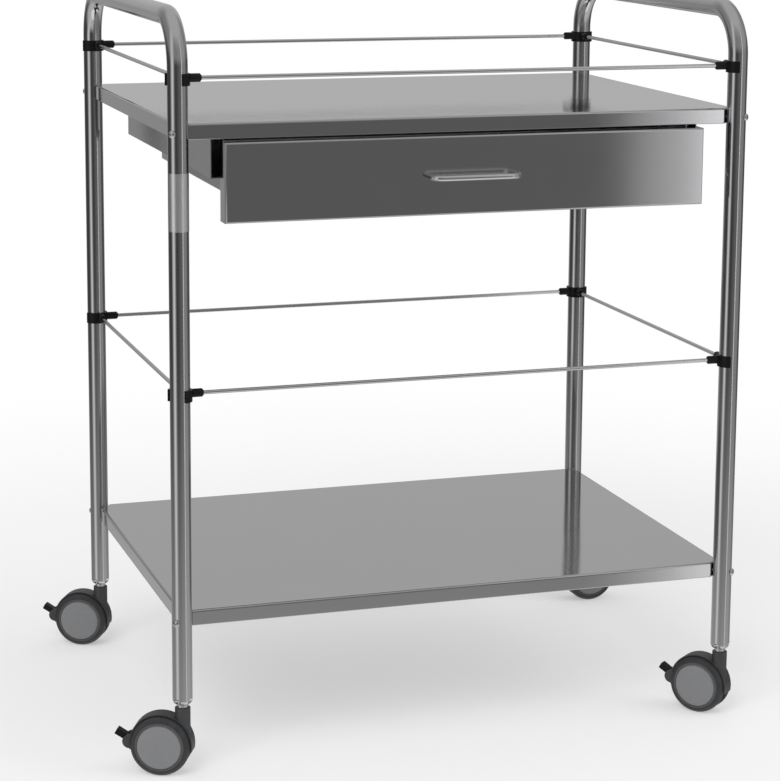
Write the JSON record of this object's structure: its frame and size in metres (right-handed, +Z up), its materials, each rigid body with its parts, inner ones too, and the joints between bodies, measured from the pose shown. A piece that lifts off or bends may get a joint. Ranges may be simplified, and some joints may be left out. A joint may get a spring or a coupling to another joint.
{
  "type": "instrument table",
  "caption": "Wheeled stainless steel instrument table: bent tube frames, two shelves, rod galleries on corner clips, a drawer on telescopic slides and braked twin-wheel castors.",
  "frame": {"origin": "on the floor under the middle of the shelves", "axes": "+X to the right along the shelves, +Y to the back, +Z up; the drawer opens towards -Y"},
  "size_m": [0.8957, 0.6126, 0.948],
  "materials": {
    "bottom_shelf_sheet": "brushed",
    "castor_disc": "satin",
    "castor_plastic": "satin",
    "clip_plastic": "satin",
    "drawer_box_sheet": "brushed",
    "drawer_front_sheet": "brushed",
    "fastener_steel": "bright",
    "frame_tube": "polished",
    "handle_wire": "polished",
    "label_film": "satin",
    "pedal_plastic": "satin",
    "polished_rod": "polished",
    "slide_steel": "satin",
    "top_shelf_sheet": "brushed",
    "tyre_rubber": "matt",
    "zinc_steel": "bright"
  },
  "bodies": {
    "stand": {"left_end_frame": "frame_tube", "right_end_frame": "frame_tube", "top_shelf": "top_shelf_sheet", "bottom_shelf": "bottom_shelf_sheet", "shelf_screws": "fastener_steel", "shelf_nuts": "fastener_steel", "upper_gallery_clips": "clip_plastic", "lower_gallery_clips": "clip_plastic", "upper_front_rod": "polished_rod", "upper_back_rod": "polished_rod", "upper_left_rod": "polished_rod", "upper_right_rod": "polished_rod", "lower_front_rod": "polished_rod", "lower_back_rod": "polished_rod", "lower_left_rod": "polished_rod", "lower_right_rod": "polished_rod", "leg_label": "label_film", "left_runner_case": "slide_steel", "right_runner_case": "slide_steel", "left_slide_outer_rail": "slide_steel", "right_slide_outer_rail": "slide_steel", "castor_swivel_pins": "zinc_steel"},
    "drawer": {"drawer_box": "drawer_box_sheet", "drawer_front": "drawer_front_sheet", "drawer_handle": "handle_wire", "drawer_handle_screws": "fastener_steel", "left_slide_inner_rail": "slide_steel", "right_slide_inner_rail": "slide_steel"},
    "left_middle_rail": {"left_slide_middle_rail": "slide_steel"},
    "right_middle_rail": {"right_slide_middle_rail": "slide_steel"},
    "front_left_castor": {"front_left_castor_hood": "castor_plastic", "front_left_castor_axle": "zinc_steel"},
    "front_left_near_wheel": {"front_left_castor_near_wheel": "castor_disc", "front_left_castor_near_tyre": "tyre_rubber"},
    "front_left_far_wheel": {"front_left_castor_far_wheel": "castor_disc", "front_left_castor_far_tyre": "tyre_rubber"},
    "front_left_brake": {"front_left_castor_brake_pedal": "pedal_plastic"},
    "back_left_castor": {"back_left_castor_hood": "castor_plastic", "back_left_castor_axle": "zinc_steel"},
    "back_left_near_wheel": {"back_left_castor_near_wheel": "castor_disc", "back_left_castor_near_tyre": "tyre_rubber"},
    "back_left_far_wheel": {"back_left_castor_far_wheel": "castor_disc", "back_left_castor_far_tyre": "tyre_rubber"},
    "back_left_brake": {"back_left_castor_brake_pedal": "pedal_plastic"},
    "front_right_castor": {"front_right_castor_hood": "castor_plastic", "front_right_castor_axle": "zinc_steel"},
    "front_right_near_wheel": {"front_right_castor_near_wheel": "castor_disc", "front_right_castor_near_tyre": "tyre_rubber"},
    "front_right_far_wheel": {"front_right_castor_far_wheel": "castor_disc", "front_right_castor_far_tyre": "tyre_rubber"},
    "front_right_brake": {"front_right_castor_brake_pedal": "pedal_plastic"},
    "back_right_castor": {"back_right_castor_hood": "castor_plastic", "back_right_castor_axle": "zinc_steel"},
    "back_right_near_wheel": {"back_right_castor_near_wheel": "castor_disc", "back_right_castor_near_tyre": "tyre_rubber"},
    "back_right_far_wheel": {"back_right_castor_far_wheel": "castor_disc", "back_right_castor_far_tyre": "tyre_rubber"},
    "back_right_brake": {"back_right_castor_brake_pedal": "pedal_plastic"}
  },
  "joints": [
    {"name": "drawer_slide", "type": "slide", "parent": "stand", "child": "drawer", "axis": [0, -1, 0], "range_m": [-0.012, 0.328]},
    {"name": "left_middle_rail_slide", "type": "slide", "parent": "stand", "child": "left_middle_rail", "axis": [0, -1, 0], "range_m": [-0.006, 0.164]},
    {"name": "right_middle_rail_slide", "type": "slide", "parent": "stand", "child": "right_middle_rail", "axis": [0, -1, 0], "range_m": [-0.006, 0.164]},
    {"name": "front_left_swivel", "type": "hinge", "parent": "stand", "child": "front_left_castor", "pos_m": [-0.365, -0.25975, 0.07], "axis": [0, 0, 1], "continuous": true},
    {"name": "front_left_near_roll", "type": "hinge", "parent": "front_left_castor", "child": "front_left_near_wheel", "pos_m": [-0.38882, -0.24813, 0.0375], "axis": [-0.4384, -0.8988, 0], "continuous": true},
    {"name": "front_left_far_roll", "type": "hinge", "parent": "front_left_castor", "child": "front_left_far_wheel", "pos_m": [-0.38882, -0.24813, 0.0375], "axis": [-0.4384, -0.8988, 0], "continuous": true},
    {"name": "front_left_brake_tilt", "type": "hinge", "parent": "front_left_castor", "child": "front_left_brake", "pos_m": [-0.42468, -0.23064, 0.04029], "axis": [-0.4384, -0.8988, 0], "range_deg": [0, 20]},
    {"name": "back_left_swivel", "type": "hinge", "parent": "stand", "child": "back_left_castor", "pos_m": [-0.365, 0.25975, 0.07], "axis": [0, 0, 1], "continuous": true},
    {"name": "back_left_near_roll", "type": "hinge", "parent": "back_left_castor", "child": "back_left_near_wheel", "pos_m": [-0.38818, 0.2726, 0.0375], "axis": [-0.4848, -0.8746, 0], "continuous": true},
    {"name": "back_left_far_roll", "type": "hinge", "parent": "back_left_castor", "child": "back_left_far_wheel", "pos_m": [-0.38818, 0.2726, 0.0375], "axis": [-0.4848, -0.8746, 0], "continuous": true},
    {"name": "back_left_brake_tilt", "type": "hinge", "parent": "back_left_castor", "child": "back_left_brake", "pos_m": [-0.42308, 0.29194, 0.04029], "axis": [-0.4848, -0.8746, 0], "range_deg": [0, 20]},
    {"name": "front_right_swivel", "type": "hinge", "parent": "stand", "child": "front_right_castor", "pos_m": [0.365, -0.25975, 0.07], "axis": [0, 0, 1], "continuous": true},
    {"name": "front_right_near_roll", "type": "hinge", "parent": "front_right_castor", "child": "front_right_near_wheel", "pos_m": [0.34797, -0.23945, 0.0375], "axis": [-0.766, -0.6428, 0], "continuous": true},
    {"name": "front_right_far_roll", "type": "hinge", "parent": "front_right_castor", "child": "front_right_far_wheel", "pos_m": [0.34797, -0.23945, 0.0375], "axis": [-0.766, -0.6428, 0], "continuous": true},
    {"name": "front_right_brake_tilt", "type": "hinge", "parent": "front_right_castor", "child": "front_right_brake", "pos_m": [0.32232, -0.20888, 0.04029], "axis": [-0.766, -0.6428, 0], "range_deg": [0, 20]},
    {"name": "back_right_swivel", "type": "hinge", "parent": "stand", "child": "back_right_castor", "pos_m": [0.365, 0.25975, 0.07], "axis": [0, 0, 1], "continuous": true},
    {"name": "back_right_near_roll", "type": "hinge", "parent": "back_right_castor", "child": "back_right_near_wheel", "pos_m": [0.3915, 0.25975, 0.0375], "axis": [0, 1, 0], "continuous": true},
    {"name": "back_right_far_roll", "type": "hinge", "parent": "back_right_castor", "child": "back_right_far_wheel", "pos_m": [0.3915, 0.25975, 0.0375], "axis": [0, 1, 0], "continuous": true},
    {"name": "back_right_brake_tilt", "type": "hinge", "parent": "back_right_castor", "child": "back_right_brake", "pos_m": [0.4314, 0.25975, 0.04029], "axis": [0, 1, 0], "range_deg": [0, 20]}
  ],
  "couplings": [
    {"joint": "left_middle_rail_slide", "follows": "drawer_slide", "ratio": 0.5},
    {"joint": "right_middle_rail_slide", "follows": "drawer_slide", "ratio": 0.5}
  ]
}
